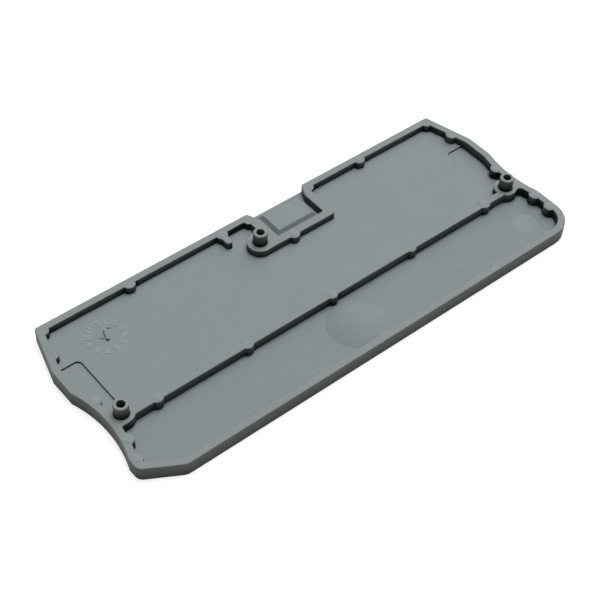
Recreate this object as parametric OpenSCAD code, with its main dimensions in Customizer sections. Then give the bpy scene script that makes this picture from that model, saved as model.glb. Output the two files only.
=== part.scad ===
// End cover of a rail-mounted terminal block: a thin moulded plate that lies on its flat outer face.
// The open side faces up, with a raised rim, a long rib, hollow locating pins and a marker notch.
// Millimetres. X runs along the cover, +Y to the notched far edge, Z from the outer face to the pins.

/* [Plate] */
// Length over both ends
cover_length = 72; // [66:0.5:84]
// Width from the near edge to the notched far edge
cover_width = 28.8; // [27.4:0.2:33]
// Height of the rim and the ribs above the outer face
rim_height = 2.2; // [1.9:0.1:3]
// Width of the rim all round
rim_width = 1.05; // [0.8:0.05:1.3]
// Thickness of the main floor behind the long rib
floor_thickness = 1; // [0.85:0.05:1.3]
// Thickness of the strip floor in front of the long rib
strip_thickness = 0.65; // [0.5:0.05:0.8]

/* [Outline] */
// How far the far corners stand in from the ends
shoulder_inset = 2.05; // [1:0.05:3]
// Length of the slanted shoulders, measured down from the far edge
shoulder_drop = 7.4; // [6:0.1:9]
// Radius of the far corners
shoulder_round = 0.4; // [0.2:0.05:0.9]
// Radius of the hollow waists in both ends
waist_radius = 18; // [15:0.5:24]
// Depth of the waist in the left end
left_waist_depth = 1.12; // [0.6:0.02:1.4]
// Middle of the left waist, measured down from the far edge
left_waist_drop = 17.8; // [17:0.1:18.6]
// Depth of the waist in the right end
right_waist_depth = 0.67; // [0.4:0.02:1]
// Middle of the right waist, measured down from the far edge
right_waist_drop = 16.4; // [15.6:0.1:17.4]
// Length along X of the sloped corner at the left end of the near edge
left_slope_run = 5.1; // [3.5:0.1:6.5]
// Angle of that sloped corner to the near edge
left_slope_angle = 30; // [22:1:34]
// Radius where the sloped corner meets the left end
left_ear_round = 1.2; // [0.5:0.1:1.8]
// Radius where the sloped corner meets the near edge
slope_foot_round = 2; // [1:0.1:4]
// Radius of the corner at the right end of the near edge
right_ear_round = 3.85; // [1.5:0.05:4.2]

/* [Long rib] */
// Width of the strip between the near edge and the long rib
strip_width = 9.85; // [9:0.05:11]
// Width of the long rib
rib_width = 1; // [0.7:0.05:1.4]

/* [Locating pins] */
// Diameter of the locating pins
pin_d = 2; // [1.6:0.05:2.4]
// Height of the pins above the rim
pin_height = 1.9; // [1.2:0.1:3]
// Diameter of the hollow in each pin
pin_bore_d = 1.15; // [0.8:0.05:1.3]
// Depth of the hollow, measured from the pin's top
pin_bore_depth = 2.6; // [1.5:0.1:2.8]
// Chamfer round the pin's top
pin_chamfer = 0.12; // [0.05:0.01:0.15]
// Ledge of the bosses under the two end pins
end_boss_ledge = 0.65; // [0.4:0.05:0.9]
// Ledge of the boss under the middle pin
mid_boss_ledge = 0.83; // [0.5:0.01:1.1]
// Distance of the end pins from the ends
end_pin_inset = 3.2; // [2.8:0.05:3.6]
// Distance of the end pins behind the middle line of the long rib
end_pin_offset = 0.55; // [0.3:0.05:0.9]
// Distance of the middle pin from the notch, measured along X
mid_pin_gap = 2.7; // [2.3:0.05:3]
// Radius of the hollow corners where the end bosses meet the long rib
boss_fillet = 0.6; // [0.2:0.05:0.9]

/* [Marker notch] */
// Middle of the notch, measured from the middle of the cover
notch_x = 5.08; // [3:0.02:8]
// Width of the notch
notch_width = 7.95; // [7:0.05:9]
// Depth of the notch from the far edge
notch_depth = 5.88; // [5.2:0.02:6.6]
// Thickness of the tab that closes the notch
tab_thickness = 0.8; // [0.6:0.05:1]
// Level of the raised pad on the tab
tab_pad_level = 2; // [1.6:0.05:2.1]
// Angle of the pad's sloped sides to the tab
tab_pad_slope = 45; // [38:1:60]
// Distance of the pad's top from the notch's left wall and from its bottom
tab_pad_margin = 0.9; // [0.6:0.05:1.3]
// Distance of the pad's top from the notch's right wall
tab_pad_right = 1.15; // [0.8:0.05:1.6]
// Distance of the pad's top from the far edge
tab_pad_far = 1.5; // [1:0.05:2]
// Width of the lead-in at each side of the notch mouth
lead_in_width = 0.9; // [0.4:0.05:1.2]
// Length of the lead-in, measured down from the far edge
lead_in_drop = 2; // [1.2:0.1:3]
// Radius of the corners of the mouth
mouth_round = 0.45; // [0.2:0.05:0.6]
// Width of the arm on the pin's side of the notch
pin_arm_width = 1.6; // [1.2:0.05:2]
// Width of the arm on the other side of the notch
plain_arm_width = 1.05; // [0.8:0.05:1.4]
// Width of the rib below the notch
sill_width = 1.25; // [0.9:0.05:1.6]

/* [Stub rib] */
// Middle of the stub rib, measured along X from the notch
stub_gap = 5.97; // [5.6:0.01:8]
// Width of the stub rib
stub_width = 1.05; // [0.8:0.05:1.4]
// Length of the stub rib from the far edge
stub_length = 3.1; // [2.4:0.1:4]

/* [Ejector pads] */
// Diameter of the round pads along the rim and the ribs
pad_d = 1.75; // [1.5:0.05:2]
// Distance of a pad's middle from the edge of the cover
pad_inset = 0.87; // [0.7:0.01:1.1]
// The same distance along the near edge
near_pad_inset = 0.53; // [0.45:0.01:0.8]
// Distance of the far pads from the middle of the cover
far_pad_x = 20; // [16:0.5:24]
// Distance of the corner pads from the far corners
corner_pad_gap = 0.65; // [0.5:0.05:1.2]
// Spacing of the pads along the long rib
rib_pad_pitch = 14; // [12:0.5:15]
// Spacing of the pads along the near edge
near_pad_pitch = 10.05; // [9:0.05:10.5]
// Distance of the last near pad from the right end
near_pad_inset_x = 5; // [4.6:0.1:6]
// First side pad, measured down from the far edge
shoulder_pad_drop = 5.05; // [4:0.05:6]
// Second side pad, measured down from the far edge
waist_pad_drop = 14.3; // [13:0.1:15]
// Third side pad, measured down from the far edge
lower_pad_drop = 21.5; // [21:0.1:22]
// Fourth side pad, measured down from the far edge
ear_pad_drop = 24.4; // [24:0.1:24.8]
// Distance of the sill pad from the notch's left wall
sill_pad_x = 1.97; // [1.5:0.01:6]
// How far the middle of a pad on the notch frame or the stub rib lies inside its wall
frame_pad_seat = 0.3; // [0.1:0.05:0.5]

/* [Floor details] */
// Width of the sunk corners of the main floor, from the ends
sunk_corner_inset = 4.2; // [3.6:0.1:6]
// Top of the sunk corners, measured down from the far edge
sunk_corner_drop = 6.9; // [6:0.1:9]
// Depth of the sunk corners below the main floor
sunk_corner_depth = 0.25; // [0.1:0.05:0.35]
// Inner radius of the sunk corners
sunk_corner_round = 0.7; // [0.3:0.1:1.2]
// Diameter of the dome on the strip, over the injection point
dome_d = 8.2; // [6:0.1:8.3]
// Rise of the dome above the strip floor
dome_rise = 0.7; // [0.3:0.05:0.9]
// Middle of the dome, measured from the middle of the cover
dome_x = 0.1; // [-3:0.1:3]
// Middle of the dome, measured from the near edge
dome_from_near = 5.3; // [5.2:0.05:5.5]
// Diameter of the hollow in the outer face under the dome
dimple_d = 6.6; // [4:0.1:6.8]
// Depth of that hollow
dimple_depth = 0.35; // [0.15:0.05:0.4]
// Diameter of the round witness mark on the strip
mark_d = 3.8; // [3:0.1:4.4]
// Depth of the witness mark
mark_depth = 0.04; // [0.03:0.01:0.12]
// Middle of the witness mark, measured from the right end
mark_inset = 4.75; // [4.4:0.05:8]
// Middle of the witness mark, measured from the near edge
mark_from_near = 5; // [4.5:0.1:5.5]

/* [Hidden] */
$fn = 64;

// Radius of the inside corners that the mould leaves
inner_round = 0.3;
// Radius of the free corner of the walls round the notch
frame_round = 0.45;
// Radius where the lead-in meets the notch wall
lead_in_round = 1.6;
// Radius of the inside corners of the notch
notch_round = 0.12;
// How far a fillet's cutter bites into the walls that it touches
cutter_bite = 0.005;
// Radius of the hollow corner under the left ear's pad
ear_fillet_r = 0.2;
// How far the middle boss stands out past the sill of the notch
boss_overhang = 0.03;
// Steps of a rounded corner
corner_steps = 8;
// Length by which a cutting shape passes the face that it opens
overrun = 1;

end_x = cover_length / 2;
far_y = cover_width / 2;
near_y = -far_y;
left_slope_rise = left_slope_run * tan(left_slope_angle);
rib_near_y = near_y + strip_width;
rib_far_y = rib_near_y + rib_width;
rib_mid_y = rib_near_y + rib_width / 2;

left_waist = [-end_x + left_waist_depth - waist_radius, far_y - left_waist_drop];
right_waist = [end_x - right_waist_depth + waist_radius, far_y - right_waist_drop];

notch_left = notch_x - notch_width / 2;
notch_right = notch_x + notch_width / 2;
notch_bottom = far_y - notch_depth;
frame_left = notch_left - pin_arm_width;
frame_right = notch_right + plain_arm_width;
frame_bottom = notch_bottom - sill_width;
stub_x = notch_left - stub_gap;

pin_top = rim_height + pin_height;
end_boss_r = pin_d / 2 + end_boss_ledge;
mid_boss_r = pin_d / 2 + mid_boss_ledge;
end_pin_y = rib_mid_y + end_pin_offset;
mid_pin = [notch_left - mid_pin_gap, frame_bottom + mid_boss_r - boss_overhang];
end_pins = [for (side = [-1, 1]) [side * (end_x - end_pin_inset), end_pin_y]];
pins = concat(end_pins, [mid_pin]);

dome_y = near_y + dome_from_near;
mark_at = [end_x - mark_inset, near_y + mark_from_near];

// Corners of the outline with their radii, anticlockwise from the foot of the left slope.
// The last number of each corner is the radius on the inside of the rim.
outline_corners = [
  [-end_x + left_slope_run, near_y, slope_foot_round, slope_foot_round],
  [end_x, near_y, right_ear_round, max(right_ear_round - rim_width, inner_round)],
  [end_x, far_y - shoulder_drop, inner_round, inner_round],
  [end_x - shoulder_inset, far_y, shoulder_round, inner_round],
  [-end_x + shoulder_inset, far_y, shoulder_round, inner_round],
  [-end_x, far_y - shoulder_drop, inner_round, inner_round],
  [-end_x, near_y + left_slope_rise, left_ear_round, max(left_ear_round - rim_width, inner_round)],
];

function unit(v) = v / norm(v);
function point(corner) = [corner[0], corner[1]];
function neighbour(corners, i, step) = corners[(i + step + len(corners)) % len(corners)];
function inward(from, to) = unit([from[1] - to[1], to[0] - from[0]]);

// Corner i moved inwards by the same distance from both of its sides.
function inset_corner(corners, i, distance) =
  let (
    here = point(corners[i]),
    before = inward(point(neighbour(corners, i, -1)), here),
    after = inward(here, point(neighbour(corners, i, 1)))
  )
  here + (before + after) * distance / (1 + before * after);

// All corners moved inwards, with the radii of the inside.
function inset_corners(corners, distance) = [
  for (i = [0 : len(corners) - 1])
    let (moved = inset_corner(corners, i, distance))
    [moved[0], moved[1], corners[i][3]]
];

// Points of the arc that rounds corner i.
function corner_arc(corners, i) =
  let (
    here = point(corners[i]),
    back = unit(point(neighbour(corners, i, -1)) - here),
    ahead = unit(point(neighbour(corners, i, 1)) - here),
    half = acos(back * ahead) / 2,
    radius = corners[i][2],
    middle = here + unit(back + ahead) * radius / sin(half),
    first = here + back * radius / tan(half) - middle,
    turn = (180 - 2 * half) * sign(cross(ahead, back))
  )
  [
    for (step = [0 : corner_steps])
      let (angle = turn * step / corner_steps)
      middle + [
        first[0] * cos(angle) - first[1] * sin(angle),
        first[0] * sin(angle) + first[1] * cos(angle)
      ]
  ];

// Outline with every corner rounded.
function rounded(corners) = [for (i = [0 : len(corners) - 1]) each corner_arc(corners, i)];

// How far the edge of one end lies inside the end's outermost line at height y.
function end_hollow(y, waist_y, waist_depth) =
  let (
    slant = shoulder_inset * max(0, y - far_y + shoulder_drop) / shoulder_drop,
    chord = max(0, waist_radius ^ 2 - (y - waist_y) ^ 2)
  )
  max(slant, sqrt(chord) - waist_radius + waist_depth);

// X of the pad that stands against the left or the right end at height y.
function side_pad_x(side, y) =
  side < 0
    ? -end_x + pad_inset + end_hollow(y, left_waist[1], left_waist_depth)
    : end_x - pad_inset - end_hollow(y, right_waist[1], right_waist_depth);

// Half plane in front of or behind a line along X.
module beyond(y, side) {
  translate([-cover_length, side > 0 ? y : y - 2 * cover_width])
    square([2 * cover_length, 2 * cover_width]);
}

// Waists of both ends, grown by the width of the rim for the inside.
module waists(grow) {
  for (at = [left_waist, right_waist])
    translate(at) circle(r = waist_radius + grow);
}

module outline() {
  difference() {
    polygon(rounded(outline_corners));
    waists(0);
  }
}

module inside_of_rim() {
  difference() {
    polygon(rounded(inset_corners(outline_corners, rim_width)));
    waists(rim_width);
  }
}

module pad(at) {
  translate(at) circle(d = pad_d);
}

// Pads along the far edge and in its corners.
module far_pads() {
  for (side = [-1, 1]) {
    pad([side * far_pad_x, far_y - pad_inset]);
    pad([side * (end_x - shoulder_inset - corner_pad_gap), far_y - pad_inset]);
  }
}

// Pads along both ends.
module side_pads() {
  drops = [shoulder_pad_drop, waist_pad_drop, lower_pad_drop, ear_pad_drop];
  for (side = [-1, 1])
    for (drop = drops)
      pad([side_pad_x(side, far_y - drop), far_y - drop]);
}

module rib_pads() {
  for (place = [-2 : 2])
    pad([place * rib_pad_pitch, rib_mid_y]);
}

module near_pads() {
  for (place = [0 : 5])
    pad([end_x - near_pad_inset_x - place * near_pad_pitch, near_y + near_pad_inset]);
}

// Pads on the walls round the notch and at the root of the stub rib.
module frame_pads() {
  pad([frame_left + frame_pad_seat, far_y - rim_width]);
  pad([frame_right + frame_pad_seat, far_y - pad_inset]);
  pad([notch_left + sill_pad_x, frame_bottom + frame_pad_seat]);
  pad([stub_x, far_y - rim_width]);
}

// Bosses that carry the pins. The left one runs out to the end, and the middle one along the sill.
module bosses() {
  for (at = end_pins)
    translate(at) circle(r = end_boss_r);
  translate([-end_x, end_pin_y - end_boss_r])
    square([end_pin_inset, end_boss_r]);
  translate(mid_pin) circle(r = mid_boss_r);
  translate([mid_pin[0], frame_bottom])
    square([frame_left + pin_arm_width - mid_pin[0], mid_pin[1] - frame_bottom]);
}

// What a round cutter at one place leaves between two walls that it touches.
module fillet(middle, radius, first, second) {
  difference() {
    polygon([first, middle, second]);
    translate(middle) circle(r = radius + cutter_bite);
  }
}

// Hollow corners between the end bosses and the near side of the long rib.
module boss_fillets() {
  fillet_y = rib_near_y - boss_fillet;
  reach = sqrt((end_boss_r + boss_fillet) ^ 2 - (end_pin_y - fillet_y) ^ 2);
  for (at = end_pins) {
    middle = [at[0] - sign(at[0]) * reach, fillet_y];
    fillet(middle, boss_fillet, at, [middle[0], rib_mid_y]);
  }
}

// Hollow corners between the right boss and the rim, in front of the boss for side -1 and behind it for side 1.
module right_boss_fillet(side) {
  boss = end_pins[1];
  boss_reach = end_boss_r + boss_fillet;
  rim_reach = waist_radius + rim_width + boss_fillet;
  gap = right_waist - boss;
  along = (boss_reach ^ 2 - rim_reach ^ 2 + gap * gap) / (2 * norm(gap));
  across = boss_reach ^ 2 - along ^ 2;
  if (across > 0)
    fillet(
      boss + unit(gap) * along + unit([-gap[1], gap[0]]) * sqrt(across) * side,
      boss_fillet, boss, right_waist
    );
}

// Hollow corner between the straight side of the left boss and the rim.
module left_boss_fillet() {
  radius = boss_fillet / 2;
  y = end_pin_y - end_boss_r - radius;
  x = left_waist[0] + sqrt((waist_radius + rim_width + radius) ^ 2 - (y - left_waist[1]) ^ 2);
  fillet([x, y], radius, left_waist, [x, end_pin_y]);
}

// Hollow corner between the left ear's pad and the sloped part of the rim.
module ear_fillet() {
  last = len(outline_corners) - 1;
  ear_y = far_y - ear_pad_drop;
  ear_pad = [side_pad_x(-1, ear_y), ear_y];
  side = inward(point(outline_corners[last]), point(outline_corners[0]));
  slope = [side[1], -side[0]];
  off = inset_corner(outline_corners, last, rim_width) + side * ear_fillet_r - ear_pad;
  reach = (off * slope) ^ 2 - off * off + (pad_d / 2 + ear_fillet_r) ^ 2;
  if (reach > 0) {
    middle = ear_pad + off + slope * (sqrt(reach) - off * slope);
    fillet(middle, ear_fillet_r, ear_pad, middle - side * (ear_fillet_r + rim_width));
  }
}

// Walls round the notch, before the notch itself is cut.
module notch_frame() {
  frame_corners = [
    [frame_left, frame_bottom, inner_round],
    [frame_right, frame_bottom, frame_round],
    [frame_right, far_y + overrun, inner_round],
    [frame_left, far_y + overrun, inner_round],
  ];
  polygon(rounded(frame_corners));
}

// Stub rib with a round tip.
module stub_rib() {
  tip_y = far_y - stub_length + stub_width / 2;
  translate([stub_x - stub_width / 2, tip_y])
    square([stub_width, far_y - tip_y]);
  translate([stub_x, tip_y]) circle(d = stub_width);
}

// Hollow of the main floor, behind the long rib.
module main_hollow() {
  difference() {
    intersection() {
      inside_of_rim();
      beyond(rib_far_y, 1);
    }
    far_pads();
    side_pads();
    rib_pads();
    frame_pads();
    bosses();
    notch_frame();
    stub_rib();
    right_boss_fillet(1);
  }
}

// Hollow of the strip, in front of the long rib.
module strip_hollow() {
  difference() {
    intersection() {
      inside_of_rim();
      beyond(rib_near_y, -1);
    }
    side_pads();
    rib_pads();
    near_pads();
    bosses();
    boss_fillets();
    right_boss_fillet(-1);
    left_boss_fillet();
    ear_fillet();
  }
}

// Ends of the main floor that lie a little lower.
module sunk_corners() {
  width = sunk_corner_inset + overrun;
  height = far_y - sunk_corner_drop - rib_near_y;
  for (side = [-1, 1]) {
    inner_x = end_x - sunk_corner_inset;
    frame = [
      [side * inner_x, rib_near_y, sunk_corner_round],
      [side * (inner_x + width), rib_near_y, sunk_corner_round],
      [side * (inner_x + width), rib_near_y + height, sunk_corner_round],
      [side * inner_x, rib_near_y + height, sunk_corner_round],
    ];
    polygon(rounded(frame));
  }
}

// Notch with its flared mouth and the rounded corners of the mouth, open past the far edge.
module notch() {
  past = 3 * lead_in_width;
  polygon(rounded([
    [notch_left, notch_bottom, notch_round],
    [notch_right, notch_bottom, notch_round],
    [notch_right, far_y - lead_in_drop, lead_in_round],
    [notch_right + lead_in_width, far_y, mouth_round],
    [notch_right + past, far_y + overrun / 10, notch_round],
    [notch_right + past, far_y + overrun, notch_round],
    [notch_left - past, far_y + overrun, notch_round],
    [notch_left - past, far_y + overrun / 10, notch_round],
    [notch_left - lead_in_width, far_y, mouth_round],
    [notch_left, far_y - lead_in_drop, lead_in_round],
  ]));
}

// Bar along Y or X with sloped sides, flat on top at the pad's level.
module ridge(first, last, length) {
  foot = tab_thickness - overrun / 2;
  run = (tab_pad_level - foot) / tan(tab_pad_slope);
  linear_extrude(length)
    polygon([
      [first - run, foot],
      [last + run, foot],
      [last, tab_pad_level],
      [first, tab_pad_level],
    ]);
}

// Raised pad on the tab, sloped on all four sides.
module tab_pad() {
  intersection() {
    translate([0, far_y + overrun, 0]) rotate([90, 0, 0])
      ridge(notch_left + tab_pad_margin, notch_right - tab_pad_right, cover_width);
    translate([-end_x, 0, 0]) rotate([90, 0, 90])
      ridge(notch_bottom + tab_pad_margin, far_y - tab_pad_far, cover_length);
  }
}

// Cap of a ball that meets a flat face in a circle of the given diameter.
module lens(d, rise) {
  ball_r = (d ^ 2 / 4 + rise ^ 2) / (2 * rise);
  translate([0, 0, rise - ball_r]) sphere(r = ball_r, $fn = 128);
}

// Cut straight down from above the rim to a level.
module cut_to(level) {
  translate([0, 0, level])
    linear_extrude(pin_top - level + overrun) children();
}

// Locating pin with its chamfered top, rising out of its boss.
module pin() {
  straight = pin_top - pin_chamfer - floor_thickness;
  translate([0, 0, floor_thickness]) cylinder(d = pin_d, h = straight);
  translate([0, 0, pin_top - pin_chamfer])
    cylinder(d1 = pin_d, d2 = pin_d - 2 * pin_chamfer, h = pin_chamfer);
}

// Dome on the strip, kept inside the cover's outline.
module dome() {
  intersection() {
    translate([dome_x, dome_y, strip_thickness]) lens(dome_d, dome_rise);
    translate([dome_x, dome_y, strip_thickness / 2]) cylinder(d = dome_d, h = rim_height);
  }
}

module end_cover() {
  color([0.545, 0.576, 0.584])
    difference() {
      union() {
        difference() {
          linear_extrude(rim_height) outline();
          cut_to(floor_thickness) main_hollow();
          cut_to(strip_thickness) strip_hollow();
          cut_to(floor_thickness - sunk_corner_depth)
            intersection() {
              main_hollow();
              sunk_corners();
            }
          difference() {
            cut_to(tab_thickness) notch();
            tab_pad();
          }
          cut_to(strip_thickness - mark_depth)
            translate(mark_at) circle(d = mark_d);
        }
        dome();
        for (at = pins)
          translate(at) pin();
      }
      for (at = pins)
        translate([at[0], at[1], pin_top - pin_bore_depth])
          cylinder(d = pin_bore_d, h = pin_bore_depth + overrun);
      translate([dome_x, dome_y, 0]) lens(dimple_d, dimple_depth);
    }
}

end_cover();
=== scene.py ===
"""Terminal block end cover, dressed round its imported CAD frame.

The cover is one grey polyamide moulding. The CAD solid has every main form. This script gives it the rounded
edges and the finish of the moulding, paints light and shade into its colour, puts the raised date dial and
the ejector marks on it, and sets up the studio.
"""
import logging
import math
from collections.abc import Callable, Iterator
from contextlib import contextmanager
from dataclasses import dataclass, field
from enum import Enum
from functools import cache

import bmesh
import bpy
from mathutils import Matrix, Quaternion, Vector
from mathutils.bvhtree import BVHTree


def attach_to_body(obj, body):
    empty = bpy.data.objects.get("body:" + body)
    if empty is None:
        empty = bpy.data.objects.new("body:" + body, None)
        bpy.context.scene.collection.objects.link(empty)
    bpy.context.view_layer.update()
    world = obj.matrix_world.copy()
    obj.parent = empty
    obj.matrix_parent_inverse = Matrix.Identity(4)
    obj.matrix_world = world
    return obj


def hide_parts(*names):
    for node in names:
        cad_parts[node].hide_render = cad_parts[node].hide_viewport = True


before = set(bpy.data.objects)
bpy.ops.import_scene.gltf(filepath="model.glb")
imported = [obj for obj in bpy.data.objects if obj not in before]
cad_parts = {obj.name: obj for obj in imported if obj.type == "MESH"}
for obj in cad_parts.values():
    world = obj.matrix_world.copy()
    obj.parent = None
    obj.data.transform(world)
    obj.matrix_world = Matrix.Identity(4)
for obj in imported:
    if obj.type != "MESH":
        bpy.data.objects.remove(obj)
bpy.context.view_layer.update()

MM = 0.001
BODY = "root"
# Name of the colour layer that holds each face corner's tone, with its painted light and shade.
TONE_LAYER = "tone_and_painted_shade"
UPWARD = Vector((0.0, 0.0, 1.0))

Span = tuple[float, float]
Point = tuple[float, float]
Place = tuple[float, float, float]
Colour = tuple[float, float, float]
Socket = bpy.types.NodeSocket
NodeInput = Socket | float | tuple[float, ...]
FaceOrder = dict[bmesh.types.BMFace, None]

log = logging.getLogger("end_cover_scene")


class EdgeRound(Enum):
    """Radius of each kind of moulded edge, in millimetres."""

    OUTER_FACE = 0.02
    RIM = 0.1
    STEP = 0.06
    PIN_FOOT = 0.07
    PIN_TOP = 0.08
    TAB = 0.03


WIDEST_ROUND = max(kind.value for kind in EdgeRound)


class SurfaceTone(Enum):
    """Share of the base colour that each kind of moulded surface shows, and how far painted contact shade
    darkens it.

    The floors have the full colour, and the witness and ejector marks are a little paler. Painted highlights
    lighten the number tops and the pin tops, painted light lightens the witness mark's wall, and painted
    shade darkens the walls, slopes, creases, pin sides and number sides.
    """

    FLOOR = ((1.0, 1.0, 1.0), 0.0)
    STRIP = ((0.955, 0.95, 0.955), 0.0)
    MARK = ((1.04, 1.03, 1.05), 0.0)
    # Painted light: the wall of the witness mark's recess is painted twice as bright, to cancel its shade.
    MARK_EDGE = ((2.0, 2.0, 2.0), 0.0)
    EJECTOR = ((1.07, 1.05, 1.05), 0.0)
    # Painted highlight on the tops of the dial's numbers, and painted shade on their sides.
    NUMBER = ((1.15, 1.15, 1.15), 0.0)
    NUMBER_SIDE = ((0.9, 0.9, 0.9), 0.0)
    # Painted shade in the creases at the sunk steps and on the walls of the dial's arrow.
    CREASE = ((0.5, 0.5, 0.5), 0.0)
    RIM = ((1.03, 1.0, 0.98), 0.0)
    # Painted shade on tilted faces above the main floor, such as the notch pad's chamfers and rounded rim
    # edges.
    SLOPE = ((0.8, 0.8, 0.8), 0.0)
    # Warm grey pin sides, with painted shade that darkens them towards their feet.
    PIN_SIDE = ((1.07, 0.98, 0.87), 1.0)
    # Painted shade: inner walls darkened towards their feet and in their corners, and painted light where
    # they face open space.
    INNER_WALL = ((0.93, 1.0, 0.96), 1.0)
    # Painted highlight on the tops of the pins.
    PIN_TOP = ((1.12, 1.05, 1.0), 0.0)
    # Painted shade: outer walls darker than the floors, and darker still towards their feet.
    OUTER_WALL = ((0.84, 0.81, 0.74), 0.62)

    def __init__(self, colour: Colour, contact: float) -> None:
        """Keep the two parts of the value by name."""
        self.colour = colour
        self.contact = contact

    def shaded(self, light: float) -> tuple[float, float, float, float]:
        """Give the tone's colour, with its painted shade, at a place that keeps a share of its light."""
        kept = 1.0 - self.contact * (1.0 - light)
        return (*(part * kept for part in self.colour), 1.0)


@cache
def spread_directions(count: int) -> tuple[Vector, ...]:
    """Spread directions over the upper half space, densest along the upright axis.

    Args:
        count: How many there are.

    Returns:
        The directions.
    """
    golden = math.pi * (3.0 - math.sqrt(5.0))
    ways = []
    for number in range(count):
        share = (number + 0.5) / count
        out, turn = math.sqrt(share), golden * number
        ways.append(Vector((out * math.cos(turn), out * math.sin(turn), math.sqrt(1.0 - share))))
    return tuple(ways)


@dataclass(frozen=True)
class ContactShade:
    """Painted shade that darkens upright walls towards their feet and in their corners, and painted light
    where they face open space.

    Attributes:
        reach: How far a direction has to stay clear of the cover and of the table, in millimetres.
        rays: How many directions are tried at a place.
        lift: How far off the surface they start, in millimetres.
        pull: How far towards the middle of the face they start, in millimetres.
        closed: Share of clear directions at which a wall is darkest.
        gain: How fast the light rises above that share.
        least: Light that the darkest corner keeps.
        most: Light that the most open place gets; above one it is painted light.
    """

    reach: float = 3.0
    rays: int = 48
    lift: float = 0.02
    pull: float = 0.03
    closed: float = 0.48
    gain: float = 2.1
    least: float = 0.04
    most: float = 1.3

    def directions(self, normal: Vector) -> list[Vector]:
        """Spread directions over the half space in front of a surface, densest along its normal.

        Args:
            normal: The surface's normal.

        Returns:
            The directions.
        """
        facing = normal.to_track_quat("Z", "Y").to_matrix()
        return [facing @ way for way in spread_directions(self.rays)]

    def light(self, shape: BVHTree, place: Vector, face: bpy.types.MeshPolygon) -> float:
        """Say how much painted light a place on a wall keeps.

        Args:
            shape: The cover.
            place: A corner of the face, in millimetres.
            face: The wall's face.

        Returns:
            The share of the light.
        """
        start = place + face.normal * self.lift + (face.center - place).normalized() * self.pull
        clear = 0
        for way in self.directions(face.normal):
            on_table = way.z < 0.0 and -start.z / way.z < self.reach
            clear += not on_table and shape.ray_cast(start, way, self.reach)[0] is None
        light = (clear / self.rays - self.closed) * self.gain
        return min(max(light, self.least), self.most)


CONTACT_SHADE = ContactShade()


def select_only(obj: bpy.types.Object) -> None:
    """Make one object the only selected one, and the active one.

    Args:
        obj: The object that the next operators act on.
    """
    bpy.ops.object.select_all(action="DESELECT")
    obj.select_set(True)
    bpy.context.view_layer.objects.active = obj


def apply_modifiers(obj: bpy.types.Object) -> None:
    """Apply every modifier of an object, from the first to the last.

    Args:
        obj: The object whose modifiers become part of its mesh.
    """
    select_only(obj)
    for name in [modifier.name for modifier in obj.modifiers]:
        bpy.ops.object.modifier_apply(modifier=name)


def apply_place() -> None:
    """Move the place of the selected objects into their meshes."""
    bpy.ops.object.transform_apply(location=True, rotation=True, scale=True)


def scale_mesh(obj: bpy.types.Object, factor: float) -> None:
    """Scale an object's mesh about the origin and leave its transform alone.

    Args:
        obj: The object to scale.
        factor: The factor for all three axes.
    """
    obj.data.transform(Matrix.Scale(factor, 4))
    obj.data.update()


@contextmanager
def open_mesh(obj: bpy.types.Object) -> Iterator[bmesh.types.BMesh]:
    """Open an object's mesh for editing and write it back afterwards.

    Args:
        obj: The object.

    Returns:
        The mesh to edit.
    """
    mesh = bmesh.new()
    mesh.from_mesh(obj.data)
    mesh.normal_update()
    yield mesh
    mesh.to_mesh(obj.data)
    mesh.free()


def join(pieces: list[bpy.types.Object], name: str, smooth_angle: float) -> bpy.types.Object:
    """Join pieces into one and shade it smoothly.

    Args:
        pieces: The pieces, each at its place.
        name: The name of the joined piece.
        smooth_angle: Edges that turn more than this, in degrees, stay sharp.

    Returns:
        The joined piece, with its place in its mesh.
    """
    select_only(pieces[0])
    for piece in pieces:
        piece.select_set(True)
    apply_place()
    bpy.ops.object.join()
    joined = bpy.context.active_object
    joined.name = name
    joined.data.name = name
    select_only(joined)
    bpy.ops.object.shade_smooth_by_angle(angle=math.radians(smooth_angle))
    return joined


def paint_tones(obj: bpy.types.Object, tone_of: Callable[[bpy.types.MeshPolygon], SurfaceTone],
                light_at: Callable[[bpy.types.MeshPolygon, Vector], float] | None = None) -> None:
    """Store the surface tone of every face corner in the mesh, with its painted light and shade, for the
    finish to read.

    Args:
        obj: The piece, in millimetres.
        tone_of: Says which tone a face has.
        light_at: Says how much painted light a corner of a face keeps, for the tones that painted contact
            shade darkens.
    """
    mesh = obj.data
    layer = mesh.attributes.new(TONE_LAYER, "FLOAT_COLOR", "CORNER")
    known: dict[tuple[float, ...], float] = {}
    for face in mesh.polygons:
        tone = tone_of(face)
        for loop in face.loop_indices:
            vertex = mesh.vertices[mesh.loops[loop].vertex_index]
            key = (vertex.index, *(round(part, 1) for part in face.normal))
            if light_at and tone.contact and key not in known:
                known[key] = light_at(face, vertex.co)
            layer.data[loop].color = tone.shaded(known.get(key, 1.0))


def attach(obj: bpy.types.Object, material: bpy.types.Material) -> None:
    """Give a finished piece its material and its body.

    Args:
        obj: The finished piece.
        material: The material that covers all of it.
    """
    obj.data.materials.clear()
    obj.data.materials.append(material)
    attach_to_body(obj, BODY)
    log.info("%s: %d faces", obj.name, len(obj.data.polygons))


def opaque(colour: Colour) -> tuple[float, float, float, float]:
    """Give a colour with full opacity."""
    return (*colour, 1.0)


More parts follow.
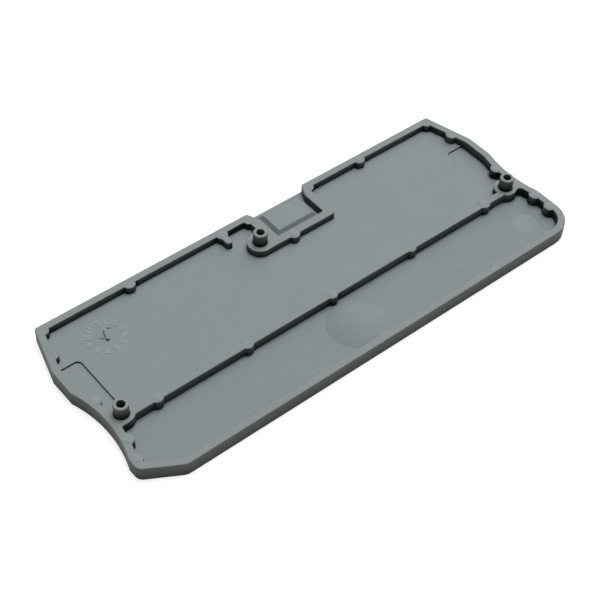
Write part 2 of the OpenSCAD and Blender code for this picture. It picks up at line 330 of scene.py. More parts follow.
class NodeTree:
    """Short calls for laying out a shader node tree.

    Attributes:
        FIRST_COLOUR: Place of the first colour among a mix node's inputs.
        SECOND_COLOUR: Place of the second colour among a mix node's inputs.
        MIXED_COLOUR: Place of the colour among a mix node's outputs.
    """

    FIRST_COLOUR = 6
    SECOND_COLOUR = 7
    MIXED_COLOUR = 2

    def __init__(self, tree: bpy.types.NodeTree) -> None:
        """Keep the tree that the calls add to."""
        self.tree = tree

    def add(self, kind: str, **values: object) -> bpy.types.Node:
        """Add a node and set its properties.

        Args:
            kind: The node's type name.
            **values: Property names with their values.

        Returns:
            The new node.
        """
        node = self.tree.nodes.new(kind)
        for name, value in values.items():
            setattr(node, name, value)
        return node

    def put(self, socket: Socket, source: NodeInput) -> None:
        """Link a socket to an output, or set its value.

        Args:
            socket: The input socket.
            source: An output socket, or a plain value.
        """
        if isinstance(source, Socket):
            self.tree.links.new(source, socket)
        else:
            socket.default_value = source

    def noise(self, vector: NodeInput, scale: NodeInput, detail: float, roughness: float) -> Socket:
        """Add a noise texture.

        Args:
            vector: The coordinates.
            scale: Its scale, in waves per metre.
            detail: How many finer layers it has.
            roughness: How strong the finer layers are.

        Returns:
            The factor output.
        """
        node = self.add("ShaderNodeTexNoise")
        self.put(node.inputs["Vector"], vector)
        self.put(node.inputs["Scale"], scale)
        self.put(node.inputs["Detail"], detail)
        self.put(node.inputs["Roughness"], roughness)
        return node.outputs["Fac"]

    def math(self, operation: str, first: NodeInput, second: NodeInput) -> Socket:
        """Add a math node.

        Args:
            operation: The operation's name.
            first: The first operand.
            second: The second operand.

        Returns:
            The value output.
        """
        node = self.add("ShaderNodeMath", operation=operation)
        self.put(node.inputs[0], first)
        self.put(node.inputs[1], second)
        return node.outputs[0]

    def remap(self, value: NodeInput, band: Span, result: Span) -> Socket:
        """Add a clamped linear map of a value.

        Args:
            value: The value to map.
            band: Its lowest and highest value.
            result: What they become.

        Returns:
            The mapped value.
        """
        node = self.add("ShaderNodeMapRange", clamp=True)
        for socket, source in zip(node.inputs, (value, *band, *result)):
            self.put(socket, source)
        return node.outputs["Result"]

    def mix(self, factor: NodeInput, first: NodeInput, second: NodeInput, blend: str = "MIX") -> Socket:
        """Add a colour mix.

        Args:
            factor: How much of the second colour shows.
            first: The first colour.
            second: The second colour.
            blend: The blend type.

        Returns:
            The colour output.
        """
        node = self.add("ShaderNodeMix", data_type="RGBA", blend_type=blend)
        self.put(node.inputs["Factor"], factor)
        self.put(node.inputs[self.FIRST_COLOUR], first)
        self.put(node.inputs[self.SECOND_COLOUR], second)
        return node.outputs[self.MIXED_COLOUR]


class MouldGrain:
    """Node group for the fine eroded grain and the soft mottle of moulded polyamide.

    Attributes:
        NAME: The group's name.
        INPUTS: Its inputs with their kinds.
        OUTPUTS: Its outputs.
        FINE: Detail and roughness of the fine grain.
        COARSE: Detail and roughness of the coarse grain.
        COARSE_SCALE: Scale of the coarse grain against the fine one.
        COARSE_SHARE: Height of the coarse grain against the fine one.
        MOTTLE: Detail and roughness of the mottle.
        MOTTLE_BAND: Noise values between which the mottle changes.
        PORE_BAND: Noise values between which the pores close.
        FULL: Range of the masks.
    """

    NAME = "mould_grain"
    INPUTS = {
        "Vector": "NodeSocketVector",
        "Grain Scale": "NodeSocketFloat",
        "Mottle Scale": "NodeSocketFloat",
    }
    OUTPUTS = ("Height", "Mottle", "Pores")
    FINE = (3.0, 0.6)
    COARSE = (2.0, 0.5)
    COARSE_SCALE = 0.3
    COARSE_SHARE = 0.6
    MOTTLE = (4.0, 0.6)
    MOTTLE_BAND = (0.3, 0.7)
    PORE_BAND = (0.35, 0.65)
    FULL = (0.0, 1.0)

    @classmethod
    def group(cls) -> bpy.types.NodeTree:
        """Build the group once and hand it out after that.

        Returns:
            The shader node group.
        """
        tree = bpy.data.node_groups.get(cls.NAME)
        if tree:
            return tree
        tree = bpy.data.node_groups.new(cls.NAME, "ShaderNodeTree")
        for name, kind in cls.INPUTS.items():
            tree.interface.new_socket(name=name, in_out="INPUT", socket_type=kind)
        for name in cls.OUTPUTS:
            tree.interface.new_socket(name=name, in_out="OUTPUT", socket_type="NodeSocketFloat")
        nodes = NodeTree(tree)
        start = nodes.add("NodeGroupInput").outputs
        end = nodes.add("NodeGroupOutput").inputs
        grain = nodes.noise(start["Vector"], start["Grain Scale"], *cls.FINE)
        coarse_scale = nodes.math("MULTIPLY", start["Grain Scale"], cls.COARSE_SCALE)
        coarse = nodes.noise(start["Vector"], coarse_scale, *cls.COARSE)
        mottle = nodes.noise(start["Vector"], start["Mottle Scale"], *cls.MOTTLE)
        nodes.put(end["Height"], nodes.math("ADD", grain, nodes.math("MULTIPLY", coarse, cls.COARSE_SHARE)))
        nodes.put(end["Mottle"], nodes.remap(mottle, cls.MOTTLE_BAND, cls.FULL))
        nodes.put(end["Pores"], nodes.remap(grain, cls.PORE_BAND, cls.FULL))
        return tree


@dataclass(frozen=True)
class PolyamideFinish:
    """Matte grey moulded polyamide.

    Attributes:
        name: The material's name.
        light: Colour of the lighter patches.
        dark: Colour of the darker patches.
        pore_shade: How much the pores darken the colour.
        grain_scale: Grain waves per metre.
        mottle_scale: Mottle waves per metre.
        grain_depth: Depth of the grain, in metres.
        grain_strength: How strongly the grain turns the light.
        gloss: Lowest and highest roughness.
        shine: Specular level.
        bending: Index of refraction.
    """

    name: str
    light: Colour
    dark: Colour
    pore_shade: float = 0.06
    grain_scale: float = 7000.0
    mottle_scale: float = 260.0
    grain_depth: float = 0.000012
    grain_strength: float = 0.5
    gloss: Span = (0.52, 0.64)
    shine: float = 0.1
    bending: float = 1.5

    def material(self) -> bpy.types.Material:
        """Build the material once and hand it out after that.

        Returns:
            The finished material.
        """
        made = bpy.data.materials.get(self.name)
        if made:
            return made
        made = bpy.data.materials.new(self.name)
        made.use_nodes = True
        nodes = NodeTree(made.node_tree)
        shader = made.node_tree.nodes["Principled BSDF"].inputs
        grain = nodes.add("ShaderNodeGroup", node_tree=MouldGrain.group())
        nodes.put(grain.inputs["Vector"], nodes.add("ShaderNodeTexCoord").outputs["Object"])
        nodes.put(grain.inputs["Grain Scale"], self.grain_scale)
        nodes.put(grain.inputs["Mottle Scale"], self.mottle_scale)
        pores = grain.outputs["Pores"]
        # The tone layer brings in the painted light and shade, which multiply the base colour.
        tone = nodes.add("ShaderNodeAttribute", attribute_name=TONE_LAYER)
        patches = nodes.mix(grain.outputs["Mottle"], opaque(self.dark), opaque(self.light))
        body = nodes.mix(1.0, patches, tone.outputs["Color"], "MULTIPLY")
        shade = nodes.remap(pores, MouldGrain.FULL, (1.0 - self.pore_shade, 1.0))
        nodes.put(shader["Base Color"], nodes.mix(1.0, body, shade, "MULTIPLY"))
        nodes.put(shader["Roughness"], nodes.remap(pores, MouldGrain.FULL, self.gloss))
        bump = nodes.add("ShaderNodeBump")
        nodes.put(bump.inputs["Strength"], self.grain_strength)
        nodes.put(bump.inputs["Distance"], self.grain_depth)
        nodes.put(bump.inputs["Height"], grain.outputs["Height"])
        nodes.put(shader["Normal"], bump.outputs["Normal"])
        nodes.put(shader["IOR"], self.bending)
        nodes.put(shader["Specular IOR Level"], self.shine)
        return made


GREY_POLYAMIDE = PolyamideFinish("moulded_polyamide", light=(0.273, 0.308, 0.315), dark=(0.263, 0.296, 0.303))


@dataclass
class MouldedCover:
    """The cover itself: a copy of the CAD solid with the rounded edges of a moulding.

    Attributes:
        node: The CAD node that the piece stands for.
        name: The piece's name.
        merge_play: Distance within which loose corners become one, in millimetres.
        line_angle: Edges that turn less than this, in degrees, are cleared as lines across a flat face.
        segments: Steps across a rounded edge.
        sharp_angle: Edges that turn more than this, in degrees, are rounded.
        flat_angle: Edges that turn less than this, in degrees, don't end a flat face.
        crease_angle: Edges between two floors that turn more than this, in degrees, stay crisp.
        cusp_angle: An edge that ends in a corner narrower than this, in degrees, stays sharp.
        room_share: Share of a wall that the rounding along one of its sides may take.
        floor_level: Height of the main floor, in millimetres.
        sunk_level: Height of the sunk corners, in millimetres.
        rim_level: Height of the rim, in millimetres.
        tab_left: Left end of the marker notch, in millimetres.
        tab_right: Right end of the marker notch, in millimetres.
        tab_near: Near end of the marker notch, in millimetres.
        arm: Start of the rounded end of the arm beside the notch and its outer wall, along X, in millimetres.
        arm_span: Near and far end of that wall, along Y, in millimetres.
        arm_growth: How far the wall is set out to meet the pad at its far end, in millimetres.
        arm_merge: Distance within which its corners on the pad become one, in millimetres.
        rib_near: Near face of the long rib, in millimetres.
        mark_centre: Middle of the witness mark, in millimetres.
        mark_radius: Radius of the witness mark, in millimetres.
        ledge: Least drop from the rim to a floor, in millimetres.
        step: Least step between two levels, in millimetres.
        slope_limit: A face whose normal rises less than this is a slope.
        steep_limit: A face whose normal rises less than this takes part in the room for rounding.
        wall_slope: A face whose normal rises less than this is a wall.
        fields: First and last cut through the walls and their pitch along each axis, in millimetres.
        pin_foot_light: Painted light that the foot of a pin keeps.
        pin_light_rise: How fast the painted light rises along a pin, per millimetre.
        notch_light: Painted light that the open side of the marker notch adds to its walls.
        near: Play for comparing heights, in millimetres.
        shape: The rounded copy, for the rays that look at it.
    """

    node: str = "end_cover"
    name: str = "moulded_cover"
    merge_play: float = 0.0005
    line_angle: float = 0.5
    segments: int = 3
    sharp_angle: float = 28.0
    flat_angle: float = 1.0
    crease_angle: float = 10.0
    cusp_angle: float = 25.0
    room_share: float = 0.42
    floor_level: float = 1.0
    sunk_level: float = 0.75
    rim_level: float = 2.2
    tab_left: float = -0.5
    tab_right: float = 10.7
    tab_near: float = 8.4
    arm: Span = (9.64, 10.105)
    arm_span: Span = (7.2, 12.75)
    arm_growth: float = 0.24
    arm_merge: float = 0.07
    rib_near: float = -4.55
    mark_centre: Point = (31.25, -9.4)
    mark_radius: float = 1.9
    ledge: float = 0.6
    step: float = 0.05
    slope_limit: float = 0.85
    steep_limit: float = 0.8
    wall_slope: float = 0.5
    fields: tuple[tuple[float, float, float], ...] = (
        (-35.3, 35.5, 1.31),
        (-13.7, 14.0, 1.31),
        (0.4, 4.0, 0.3),
    )
    # Painted shade on the pins, lightening from their feet upwards.
    pin_foot_light: float = -0.12
    pin_light_rise: float = 0.52
    # Painted light on the walls of the marker notch.
    notch_light: float = 0.22
    near: float = 0.004
    shape: BVHTree | None = field(default=None, init=False, repr=False)

    def build(self) -> bpy.types.Object:
        """Copy the CAD mesh, merge it, round its edges and paint its tones.

        Returns:
            The finished piece, in place of the CAD node.
        """
        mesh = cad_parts[self.node].data.copy()
        obj = bpy.data.objects.new(self.name, mesh)
        bpy.context.scene.collection.objects.link(obj)
        mesh.name = self.name
        scale_mesh(obj, 1.0 / MM)
        self.merge(obj)
        self.widen_arm(obj)
        self.weigh_edges(obj)
        self.round_edges(obj)
        self.cut_walls(obj)
        self.even_normals(obj)
        self.shape = BVHTree.FromPolygons([vertex.co for vertex in mesh.vertices],
                                          [face.vertices for face in mesh.polygons])
        paint_tones(obj, self.tone, self.light)
        scale_mesh(obj, MM)
        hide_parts(self.node)
        return obj

    def merge(self, obj: bpy.types.Object) -> None:
        """Join the loose triangles and clear the lines across flat faces.

        Args:
            obj: The copy, in millimetres.
        """
        select_only(obj)
        bpy.ops.object.mode_set(mode="EDIT")
        bpy.ops.mesh.select_all(action="SELECT")
        bpy.ops.mesh.remove_doubles(threshold=self.merge_play)
        bpy.ops.mesh.dissolve_limited(angle_limit=math.radians(self.line_angle))
        bpy.ops.object.mode_set(mode="OBJECT")

    def widen_arm(self, obj: bpy.types.Object) -> None:
        """Set the outer wall of the arm beside the notch out until it meets the pad at its far end.

        Args:
            obj: The merged copy, in millimetres.
        """
        (start, wall), (near, far) = self.arm, self.arm_span
        moved = wall + self.arm_growth
        with open_mesh(obj) as mesh:
            beside = []
            for vertex in mesh.verts:
                if start < vertex.co.x < moved + self.near and near < vertex.co.y < far:
                    vertex.co.x = min(vertex.co.x + self.arm_growth, moved)
                    beside.append(vertex)
            bmesh.ops.remove_doubles(mesh, verts=beside, dist=self.arm_merge)

    def radius(self, edge: bmesh.types.BMEdge) -> float:
        """Say how round the mould leaves an edge.

        Args:
            edge: A sharp edge of the merged copy.

        Returns:
            Its radius, in millimetres.
        """
        low, high = sorted(vertex.co.z for vertex in edge.verts)
        if low > self.rim_level + self.near:
            return EdgeRound.PIN_TOP.value
        if any(face.calc_center_median().z > self.rim_level + self.near for face in edge.link_faces):
            return EdgeRound.PIN_FOOT.value
        if high < self.near:
            return EdgeRound.OUTER_FACE.value
        if low < self.rim_level - self.near and self.on_tab(edge):
            return EdgeRound.TAB.value
        if low > self.sunk_level - self.near and high < self.floor_level + self.near:
            if edge.is_convex or self.wall_reach(edge) < self.floor_level:
                return EdgeRound.STEP.value
        return EdgeRound.RIM.value

    def on_tab(self, edge: bmesh.types.BMEdge) -> bool:
        """Say whether an edge lies in the marker notch."""
        return all(self.in_notch(vertex.co) for vertex in edge.verts)

    def in_notch(self, place: Vector) -> bool:
        """Say whether a place lies in the marker notch."""
        return self.tab_left < place.x < self.tab_right and place.y > self.tab_near

    def wall_reach(self, edge: bmesh.types.BMEdge) -> float:
        """Measure how far the steep faces beside an edge reach away from it.

        Args:
            edge: A sharp edge of the merged copy.

        Returns:
            The shortest reach, in millimetres, or infinity where no face is steep.
        """
        start = edge.verts[0].co
        along = (edge.verts[1].co - start).normalized()
        reaches = [math.inf]
        for face in edge.link_faces:
            if abs(face.normal.z) < self.steep_limit:
                reaches.append(max((corner.co - start).cross(along).length for corner in face.verts))
        return min(reaches)

    def ends_in_cusp(self, loop: bmesh.types.BMLoop) -> bool:
        """Say whether a side of a face ends in a narrow corner of that face.

        Args:
            loop: The side of the face.

        Returns:
            True where the corner at one of its ends is too narrow to be rounded.
        """
        corners = ((loop, loop.link_loop_prev), (loop.link_loop_next, loop.link_loop_next))
        return any(self.is_real(neighbour) and corner.calc_angle() < math.radians(self.cusp_angle)
                   for corner, neighbour in corners)

    def is_real(self, loop: bmesh.types.BMLoop) -> bool:
        """Say whether a side of a face is an edge of the form and not a line across a flat face."""
        return loop.edge.calc_face_angle(math.pi) > math.radians(self.flat_angle)

    def is_crease(self, edge: bmesh.types.BMEdge) -> bool:
        """Say whether an edge is a crisp line between two floors, such as the foot of the dome."""
        level = all(face.normal.z > self.slope_limit for face in edge.link_faces)
        return level and edge.calc_face_angle(0.0) > math.radians(self.crease_angle)

    def weigh_edges(self, obj: bpy.types.Object) -> None:
        """Mark the creases, and give each sharp edge the bevel weight for its radius and the room beside it.

        Args:
            obj: The merged copy, in millimetres.
        """
        limit = math.radians(self.sharp_angle)
        with open_mesh(obj) as mesh:
            layer = mesh.edges.layers.float.new("bevel_weight_edge")
            for edge in mesh.edges:
                edge.smooth = not self.is_crease(edge)
                if edge.calc_face_angle(0.0) > limit and not any(map(self.ends_in_cusp, edge.link_loops)):
                    radius = min(self.radius(edge), self.room_share * self.wall_reach(edge))
                    edge[layer] = radius / WIDEST_ROUND

    def round_edges(self, obj: bpy.types.Object) -> None:
        """Round the weighted edges.

        Args:
            obj: The weighted copy, in millimetres.
        """
        bevel = obj.modifiers.new("rounded_edges", "BEVEL")
        bevel.limit_method = "WEIGHT"
        bevel.offset_type = "OFFSET"
        bevel.width = WIDEST_ROUND
        bevel.segments = self.segments
        bevel.use_clamp_overlap = False
        bevel.loop_slide = False
        apply_modifiers(obj)

    def cut_walls(self, obj: bpy.types.Object) -> None:
        """Cut the walls into small fields, so that their painted shade can change along them.

        Args:
            obj: The rounded copy, in millimetres.
        """
        with open_mesh(obj) as mesh:
            walls = dict.fromkeys(face for face in mesh.faces if abs(face.normal.z) < self.wall_slope)
            for axis, (first, last, pitch) in enumerate(self.fields):
                large = dict.fromkeys(face for face in walls if self.length(face, axis) > pitch)
                for step in range(int((last - first) / pitch) + 1):
                    self.cut(mesh, large, axis, first + step * pitch)
                walls.update(large)

    def cut(self, mesh: bmesh.types.BMesh, faces: FaceOrder, axis: int, at: float) -> None:
        """Cut the faces that cross a plane, and add the new faces to them.

        Args:
            mesh: The open mesh.
            faces: The faces, in the order in which they were found.
            axis: The axis that the plane stands across.
            at: Its place along that axis, in millimetres.
        """
        place, across = Vector(), Vector()
        place[axis], across[axis] = at, 1.0
        met = [face for face in faces if self.lowest(face, axis) < place[axis] < self.highest(face, axis)]
        parts = list(dict.fromkeys(part for face in met for part in (face, *face.edges, *face.verts)))
        made = bmesh.ops.bisect_plane(mesh, geom=parts, dist=self.near, plane_co=place, plane_no=across)
        faces.update(dict.fromkeys(part for part in made["geom"] if isinstance(part, bmesh.types.BMFace)))

    def lowest(self, face: bmesh.types.BMFace, axis: int) -> float:
        """Give the lowest place of a face along an axis."""
        return min(vertex.co[axis] for vertex in face.verts)

    def highest(self, face: bmesh.types.BMFace, axis: int) -> float:
        """Give the highest place of a face along an axis."""
        return max(vertex.co[axis] for vertex in face.verts)

    def length(self, face: bmesh.types.BMFace, axis: int) -> float:
        """Give the length of a face along an axis."""
        return self.highest(face, axis) - self.lowest(face, axis)

    def even_normals(self, obj: bpy.types.Object) -> None:
        """Shade the rounded edges smoothly and keep the flat faces flat.

        Args:
            obj: The rounded copy, in millimetres.
        """
        normals = obj.modifiers.new("face_normals", "WEIGHTED_NORMAL")
        normals.keep_sharp = True
        select_only(obj)
        bpy.ops.object.shade_smooth()
        apply_modifiers(obj)

    def tone(self, face: bpy.types.MeshPolygon) -> SurfaceTone:
        """Say which kind of moulded surface a face belongs to, and so which painted light or shade it takes.

        Args:
            face: A face of the rounded copy, in millimetres.

        Returns:
            Its surface tone.
        """
        place, upward = face.center, face.normal.z
        is_low = self.near < place.z < self.rim_level - self.ledge
        # The witness mark is a little paler, and its recess wall takes painted light.
        if is_low and math.dist(place.xy, self.mark_centre) < self.mark_radius:
            return SurfaceTone.MARK if upward > self.slope_limit else SurfaceTone.MARK_EDGE
        # Pin tops take a painted highlight, and pin sides take painted shade.
        if place.z > self.rim_level + self.near:
            is_top = abs(upward) > self.wall_slope and place.z > self.rim_level + self.ledge
            return SurfaceTone.PIN_TOP if is_top else SurfaceTone.PIN_SIDE
        # Walls take painted shade, the outer ones darker.
        if abs(upward) < self.wall_slope:
            return SurfaceTone.OUTER_WALL if self.on_outline(face) else SurfaceTone.INNER_WALL
        if is_low and place.y < self.rib_near:
            return SurfaceTone.STRIP
        # Creases at the sunk steps take painted shade.
        if self.sunk_level + self.near < place.z < self.floor_level - self.near and not self.in_notch(place):
            return SurfaceTone.CREASE
        # Tilted faces above the main floor take painted shade.
        if place.z > self.floor_level + self.step:
            if upward < self.slope_limit:
                return SurfaceTone.SLOPE
            return SurfaceTone.FLOOR if place.z < self.rim_level - self.step else SurfaceTone.RIM
        return SurfaceTone.FLOOR

    def light(self, face: bpy.types.MeshPolygon, place: Vector) -> float:
        """Say how much painted light a corner of a wall keeps.

        Args:
            face: The wall's face.
            place: The corner, in millimetres.

        Returns:
            The share of the painted light. It rises along the pins, grows with the open space before other
            walls, and is raised in the marker notch.
        """
        # Painted shade on the pins, darkest at their feet.
        if place.z > self.rim_level:
            return max(self.pin_foot_light + self.pin_light_rise * (place.z - self.rim_level), 0.0)
        # Painted shade from the nearby walls, with painted light added in the marker notch.
        light = CONTACT_SHADE.light(self.shape, place, face)
        return light + self.notch_light if self.in_notch(place) else light

    def on_outline(self, face: bpy.types.MeshPolygon) -> bool:
        """Say whether an upright face is part of the outside of the cover.

        Args:
            face: An upright face of the rounded copy, in millimetres.

        Returns:
            True where nothing of the cover stands in front of the face.
        """
        start = face.center + face.normal * self.step
        hit = self.shape.ray_cast(Vector((start.x, start.y, -self.rim_level)), UPWARD)
        return hit[0] is None


@dataclass
class DateDial:
    """Raised date dial on the main floor: twelve plain numbers round an arrow.

    Attributes:
        name: The piece's name.
        centre: Middle of the arrow on the floor, in millimetres.
        level: Height of the floor, in millimetres.
        numbers: How many numbers there are.
        ring_centre: Middle of the ring of numbers, in millimetres.
        ring: Radius of the ring of numbers.
        number_height: Height of a number.
        number_relief: How far the numbers stand up.
        number_bold: How far their strokes are widened.
        number_steps: Steps along a curve of their outline.
        number_edge_steps: Steps across their rounded edge.
        arrow: Start and end of the arrow's shaft, from the middle.
        barbs: Start and end of its barbs, from the middle.
        shaft_width: Width of the shaft.
        barb_width: Width of a barb.
        arrow_relief: How far the shaft stands up.
        barb_relief: How far the barbs stand up.
        bar_corner: Radius of a bar's corners against its width, and the steps round them.
        bar_edge: Rounding of a bar's upper edge against its width, and the steps across it.
        wall_slope: A face whose normal rises less than this is a wall.
        play: Play for telling the arrow's heights from the numbers'.
        smooth_angle: Edges that turn more than this, in degrees, stay sharp.
    """

    name: str = "date_dial"
    centre: Point = (-27.0, 8.75)
    level: float = MouldedCover.floor_level
    numbers: int = 12
    ring_centre: Point = (-26.91, 8.71)
    ring: float = 2.4
    number_height: float = 1.15
    number_relief: float = 0.04
    number_bold: float = 0.08
    number_steps: int = 4
    number_edge_steps: int = 1
    arrow: tuple[Point, Point] = ((-0.1, -0.85), (0.48, 0.95))
    barbs: tuple[tuple[Point, Point], ...] = (((-0.82, 0.2), (-0.3, -0.2)), ((0.92, 1.12), (1.37, 0.76)))
    shaft_width: float = 0.45
    barb_width: float = 0.3
    arrow_relief: float = 0.34
    barb_relief: float = 0.12
    bar_corner: tuple[float, int] = (0.4, 5)
    bar_edge: tuple[float, int] = (0.14, 3)
    wall_slope: float = 0.5
    play: float = 0.01
    smooth_angle: float = 35.0

    def build(self) -> bpy.types.Object:
        """Make the numbers and the arrow and join them.

        Returns:
            The finished piece.
        """
        made = [self.number(value) for value in range(1, self.numbers + 1)]
        made.append(self.bar(*self.arrow, self.shaft_width, self.arrow_relief))
        made += [self.bar(*barb, self.barb_width, self.barb_relief) for barb in self.barbs]
        dial = join(made, self.name, self.smooth_angle)
        paint_tones(dial, self.tone)
        scale_mesh(dial, MM)
        return dial

    def tone(self, face: bpy.types.MeshPolygon) -> SurfaceTone:
        """Say whether a face is a top or a wall, and of the arrow or of a number, and so which painted light
        or shade it takes.

        Args:
            face: A face of the dial, in millimetres.

        Returns:
            Its surface tone.
        """
        is_wall = face.normal.z < self.wall_slope
        # The arrow's walls take painted shade and its tops the floor's tone; the numbers take a painted
        # highlight on their tops and painted shade on their sides.
        if face.center.z > self.level + self.number_relief + self.play:
            return SurfaceTone.CREASE if is_wall else SurfaceTone.FLOOR
        return SurfaceTone.NUMBER_SIDE if is_wall else SurfaceTone.NUMBER

    def number(self, value: int) -> bpy.types.Object:
        """Make one number of the ring, with its head outwards.

        Args:
            value: The number, from 1 upwards.

        Returns:
            Its mesh, in millimetres and in place.
        """
        turn = -math.radians(360.0 / self.numbers * value)
        across, along = self.ring_centre
        place = (across - math.sin(turn) * self.ring, along + math.cos(turn) * self.ring, self.level)
        bpy.ops.object.select_all(action="DESELECT")
        bpy.ops.object.text_add(location=place, rotation=(0.0, 0.0, turn))
        text = bpy.context.active_object.data
        text.body = str(value)
        text.size = self.number_height
        text.align_x = "CENTER"
        text.align_y = "CENTER"
        text.extrude = self.number_relief / 2
        text.bevel_depth = self.number_relief / 2
        text.bevel_resolution = self.number_edge_steps
        text.offset = self.number_bold
        text.resolution_u = self.number_steps
        bpy.ops.object.convert(target="MESH")
        apply_place()
        return bpy.context.active_object

    def bar(self, start: Point, end: Point, width: float, relief: float) -> bpy.types.Object:
        """Raise one round-ended bar of the arrow.

        Args:
            start: Where it starts, from the middle of the arrow.
            end: Where it ends, from the middle of the arrow.
            width: Its width.
            relief: How far it stands up.

        Returns:
            Its mesh, in millimetres and in place.
        """
        run = Vector(end) - Vector(start)
        middle = Vector(self.centre) + (Vector(start) + Vector(end)) / 2
        turn = math.atan2(run.y, run.x)
        sunk = self.number_relief
        foot = (middle.x, middle.y, self.level - sunk)
        (corner, corner_steps), (edge, edge_steps) = self.bar_corner, self.bar_edge
        bpy.ops.object.select_all(action="DESELECT")
        bpy.ops.mesh.primitive_plane_add(size=1.0, location=foot, rotation=(0.0, 0.0, turn))
        bar = bpy.context.active_object
        bar.scale = (run.length, width, 1.0)
        bpy.ops.object.transform_apply(location=False, rotation=False, scale=True)
        bpy.ops.object.mode_set(mode="EDIT")
        bpy.ops.mesh.bevel(offset=width * corner, segments=corner_steps, affect="VERTICES")
        bpy.ops.mesh.extrude_region_move(TRANSFORM_OT_translate={"value": (0.0, 0.0, relief + sunk)})
        bpy.ops.mesh.bevel(offset=width * edge, segments=edge_steps, affect="EDGES")
        bpy.ops.mesh.select_all(action="SELECT")
        bpy.ops.mesh.normals_make_consistent(inside=False)
        bpy.ops.object.mode_set(mode="OBJECT")
        apply_place()
        return bar


@dataclass
class EjectorMarks:
    """Faint round marks that the ejector pins of the mould leave on the pads.

    Attributes:
        name: The piece's name.
        level: Height of the pads, in millimetres.
        radius: Radius of a mark.
        sides: Sides of its round.
        relief: How far a mark stands up.
        edge: How far its rounded edge runs in, and the steps across it.
        smooth_angle: Edges that turn more than this, in degrees, stay sharp.
        rib_row: Place of the marks on the long rib along Y, in millimetres.
        rib_columns: Their places along X.
        end_rows: Places of the marks at both ends along Y.
        left_columns: Places of those at the left end along X.
        right_columns: Places of those at the right end along X.
        far_places: Places of the marks round the notch and on the far rim.
    """

    name: str = "ejector_marks"
    level: float = MouldedCover.rim_level
    radius: float = 0.66
    sides: int = 40
    relief: float = 0.025
    edge: tuple[float, int] = (0.02, 2)
    smooth_angle: float = 50.0
    rib_row: float = -4.05
    rib_columns: tuple[float, ...] = (-28.0, 0.0, 28.0)
    end_rows: tuple[float, ...] = (0.1, -7.1, -10.0)
    left_columns: tuple[float, ...] = (-34.35, -34.39, -35.13)
    right_columns: tuple[float, ...] = (34.58, 35.13, 35.13)
    far_places: tuple[Point, ...] = ((3.07, 7.57), (20.0, 13.53), (-4.87, 13.35))

    def build(self) -> bpy.types.Object:
        """Make one mark, copy it to every place and join the copies.

        Returns:
            The finished piece.
        """
        places = self.places()
        first = self.mark()
        made = [first, *(self.copy(first) for _ in places[1:])]
        for mark, place in zip(made, places):
            mark.location = (*place, self.level)
        marks = join(made, self.name, self.smooth_angle)
        paint_tones(marks, self.tone)
        scale_mesh(marks, MM)
        return marks

    def places(self) -> list[Point]:
        """List the middle of every mark.

        Returns:
            The places on the pads, in millimetres.
        """
        on_rib = [(column, self.rib_row) for column in self.rib_columns]
        at_ends = [*zip(self.left_columns, self.end_rows), *zip(self.right_columns, self.end_rows)]
        return [*on_rib, *self.far_places, *at_ends]

    def copy(self, mark: bpy.types.Object) -> bpy.types.Object:
        """Copy a mark, with a mesh of its own.

        Args:
            mark: The mark to copy.

        Returns:
            The copy.
        """
        twin = mark.copy()
        twin.data = mark.data.copy()
        bpy.context.scene.collection.objects.link(twin)
        return twin

    def tone(self, face: bpy.types.MeshPolygon) -> SurfaceTone:
        """Give every face of the marks the same tone."""
        return SurfaceTone.EJECTOR

    def mark(self) -> bpy.types.Object:
        """Shape one mark at the origin.

        Returns:
            A low round disc with a rounded upper edge, half sunk.
        """
        edge, edge_steps = self.edge
        foot = (0.0, 0.0, -self.relief)
        bpy.ops.object.select_all(action="DESELECT")
        bpy.ops.mesh.primitive_circle_add(vertices=self.sides, radius=self.radius, fill_type="NGON",
                                          location=foot)
        disc = bpy.context.active_object
        apply_place()
        bpy.ops.object.mode_set(mode="EDIT")
        bpy.ops.mesh.select_all(action="SELECT")
        bpy.ops.mesh.extrude_region_move(TRANSFORM_OT_translate={"value": (0.0, 0.0, 2.0 * self.relief)})
        bpy.ops.mesh.bevel(offset=edge, segments=edge_steps, affect="EDGES")
        bpy.ops.mesh.select_all(action="SELECT")
        bpy.ops.mesh.normals_make_consistent(inside=False)
        bpy.ops.object.mode_set(mode="OBJECT")
        return disc


@dataclass(frozen=True)
class SoftPanel:
    """One soft square lamp.

    Attributes:
        name: The lamp's name.
        place: Where it hangs, in metres.
        side: Side of the square, in metres.
        power: Its power, in watts.
    """

    name: str
    place: Place
    side: float
    power: float

    def hang(self) -> None:
        """Hang the lamp so that it faces the object."""
        data = bpy.data.lights.new(self.name, "AREA")
        data.size = self.side
        data.energy = self.power
        obj = bpy.data.objects.new(self.name, data)
        obj.location = self.place
        obj.rotation_euler = Vector(self.place).to_track_quat("Z", "Y").to_euler()
        bpy.context.scene.collection.objects.link(obj)


SKY_PANEL = SoftPanel("sky_panel", place=(0.105, 0.04, 0.994), side=0.6, power=7.7)
SIDE_PANEL = SoftPanel("side_panel", place=(0.7, 0.32, 0.638), side=0.9, power=4.17)


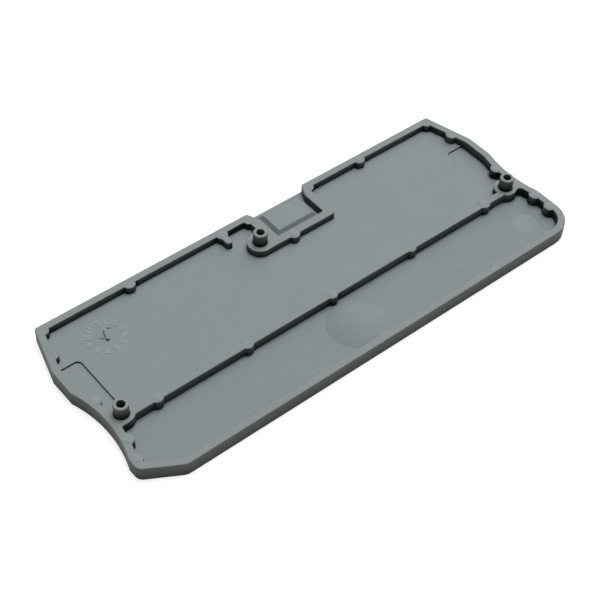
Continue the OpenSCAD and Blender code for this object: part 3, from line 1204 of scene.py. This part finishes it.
@dataclass
class Studio:
    """Pale floor, soft light and the camera at the photo's angle.

    Attributes:
        lamps: The lamps.
        floor_size: Side of the square floor, in metres.
        floor_drop: How far the floor lies under the outer face, in metres.
        bounce: Floor colour that lights the object.
        shadow_share: Floor colour that takes the object's shadow.
        glow: Light that the floor shows on its own.
        ambient: Strength of the world on the object.
        target: Point that the camera looks at, in millimetres.
        distance: From the camera to that point, in millimetres.
        azimuth: Camera direction round the upright axis, in degrees.
        elevation: Camera height above the floor, in degrees.
        roll: Turn about the viewing axis, in degrees.
        lens: Focal length, in millimetres.
        sensor: Width of the sensor, in millimetres.
        clip: Nearest and farthest distance that the camera sees, in metres.
    """

    lamps: tuple[SoftPanel, ...] = (SKY_PANEL, SIDE_PANEL)
    floor_size: float = 6.0
    floor_drop: float = 0.00002
    bounce: float = 0.6
    shadow_share: float = 0.5
    glow: float = 0.7
    ambient: float = 0.03
    target: Place = (-2.721, -0.964, 0.042)
    distance: float = 182.695
    azimuth: float = -41.567
    elevation: float = 48.141
    roll: float = 3.062
    lens: float = 82.596
    sensor: float = 36.0
    clip: Span = (0.01, 20.0)

    def build(self) -> None:
        """Make the floor, the world, the lamps and the camera."""
        self.floor()
        self.world()
        for lamp in self.lamps:
            lamp.hang()
        self.camera()

    def seen_directly(self, nodes: NodeTree) -> Socket:
        """Add a mask of the rays that show the background itself.

        Args:
            nodes: The tree to add to.

        Returns:
            One for camera, glossy and transmission rays, else zero.
        """
        path = nodes.add("ShaderNodeLightPath")
        mirrored = nodes.math("MAXIMUM", path.outputs["Is Glossy Ray"], path.outputs["Is Transmission Ray"])
        return nodes.math("MAXIMUM", path.outputs["Is Camera Ray"], mirrored)

    def floor(self) -> None:
        """Lay a floor that looks white and keeps the object's shadow."""
        bpy.ops.object.select_all(action="DESELECT")
        bpy.ops.mesh.primitive_plane_add(size=self.floor_size, location=(0.0, 0.0, -self.floor_drop))
        plane = bpy.context.active_object
        plane.name = "pale_floor"
        made = bpy.data.materials.new("pale_floor")
        made.use_nodes = True
        made.node_tree.nodes.clear()
        nodes = NodeTree(made.node_tree)
        matte = nodes.add("ShaderNodeBsdfDiffuse")
        seen = self.seen_directly(nodes)
        tone = nodes.mix(seen, opaque((self.bounce,) * 3), opaque((self.shadow_share,) * 3))
        nodes.put(matte.inputs["Color"], tone)
        glow = nodes.add("ShaderNodeEmission")
        nodes.put(glow.inputs["Strength"], nodes.math("MULTIPLY", seen, self.glow))
        both = nodes.add("ShaderNodeAddShader")
        nodes.put(both.inputs[0], matte.outputs[0])
        nodes.put(both.inputs[1], glow.outputs[0])
        end = nodes.add("ShaderNodeOutputMaterial")
        nodes.put(end.inputs["Surface"], both.outputs[0])
        plane.data.materials.append(made)

    def world(self) -> None:
        """Set a world that looks white and lights the object weakly."""
        world = bpy.data.worlds.new("studio")
        bpy.context.scene.world = world
        world.use_nodes = True
        nodes = NodeTree(world.node_tree)
        back = world.node_tree.nodes["Background"]
        nodes.put(back.inputs["Color"], opaque((1.0, 1.0, 1.0)))
        strength = nodes.remap(self.seen_directly(nodes), (0.0, 1.0), (self.ambient, 1.0))
        nodes.put(back.inputs["Strength"], strength)

    def camera(self) -> None:
        """Place the camera at the photo's angle."""
        data = bpy.data.cameras.new("photo_camera")
        data.lens = self.lens
        data.sensor_width = self.sensor
        data.clip_start, data.clip_end = self.clip
        turn, lift = math.radians(self.azimuth), math.radians(self.elevation)
        back = Vector((math.sin(turn) * math.cos(lift), -math.cos(turn) * math.cos(lift), math.sin(lift)))
        obj = bpy.data.objects.new("photo_camera", data)
        obj.location = (Vector(self.target) + back * self.distance) * MM
        obj.rotation_mode = "QUATERNION"
        obj.rotation_quaternion = back.to_track_quat("Z", "Y") @ Quaternion(UPWARD, math.radians(self.roll))
        bpy.context.scene.collection.objects.link(obj)
        bpy.context.scene.camera = obj


def main() -> None:
    """Build the cover, its date dial, its ejector marks and the studio, in that order."""
    logging.basicConfig(level=logging.INFO, format="%(name)s: %(message)s")
    bpy.context.scene.view_settings.view_transform = "Standard"
    attach(MouldedCover().build(), GREY_POLYAMIDE.material())
    attach(DateDial().build(), GREY_POLYAMIDE.material())
    attach(EjectorMarks().build(), GREY_POLYAMIDE.material())
    Studio().build()


if __name__ == "__main__":
    main()
